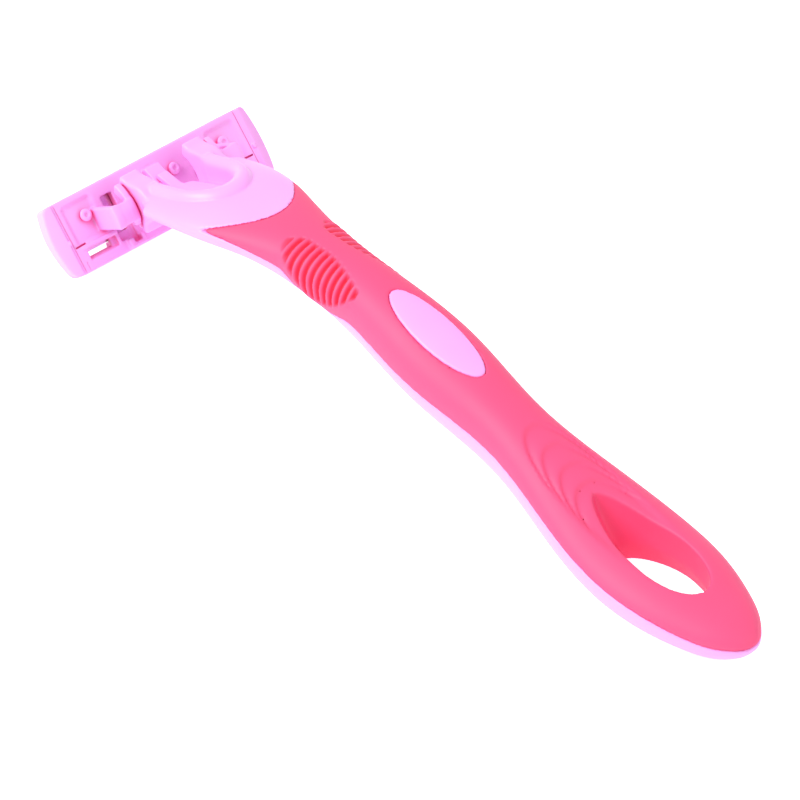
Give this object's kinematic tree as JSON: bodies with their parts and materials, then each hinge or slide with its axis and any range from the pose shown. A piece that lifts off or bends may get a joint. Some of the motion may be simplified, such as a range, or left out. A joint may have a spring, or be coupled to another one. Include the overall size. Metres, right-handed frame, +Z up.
{
  "type": "cartridge razor",
  "caption": "Wet-shaving razor: two-colour grip handle with a hanging loop, forked yoke head and a pivoting blade cartridge with a spring return tongue.",
  "frame": {"origin": "middle of the bounding box in X and Y, on the table plane that the guard edge and the tail rest on", "axes": "+Y from the tail of the handle to the head, +X to the right across the blades, +Z up out of the back of the handle"},
  "size_m": [0.0434, 0.1459, 0.0224],
  "materials": {
    "pale_pink_plastic": "satin moulded",
    "coral_soft_grip": "soft-touch matte",
    "cartridge_plastic": "satin moulded",
    "blade_steel": "ground edge, polished",
    "spacer_metal": "stamped",
    "lubricant": "waxy",
    "guard_rubber": "moulded fins"
  },
  "bodies": {
    "handle": {"handle_core": "pale_pink_plastic", "grip_sleeve": "coral_soft_grip"},
    "cartridge": {"cartridge_base": "cartridge_plastic", "seat_blade": "blade_steel", "middle_blade": "blade_steel", "cap_blade": "blade_steel", "lower_spacer": "spacer_metal", "upper_spacer": "spacer_metal", "blade_cap": "cartridge_plastic", "lubricating_strip": "lubricant", "guard_strip": "guard_rubber", "left_end_cap": "cartridge_plastic", "right_end_cap": "cartridge_plastic"},
    "tongue": {"return_tongue": "pale_pink_plastic"}
  },
  "joints": [
    {"name": "cartridge_pivot", "type": "hinge", "parent": "handle", "child": "cartridge", "pos_m": [0, 0.0662, 0.0072], "axis": [1, 0, 0], "range_deg": [0, 30], "stiffness_Nm_per_rad": 0.01},
    {"name": "tongue_flex", "type": "hinge", "parent": "handle", "child": "tongue", "pos_m": [0, 0.0494, 0.016], "axis": [1, 0, 0], "range_deg": [0, 5]}
  ],
  "couplings": [
    {"joint": "tongue_flex", "follows": "cartridge_pivot", "ratio": 0.15}
  ]
}
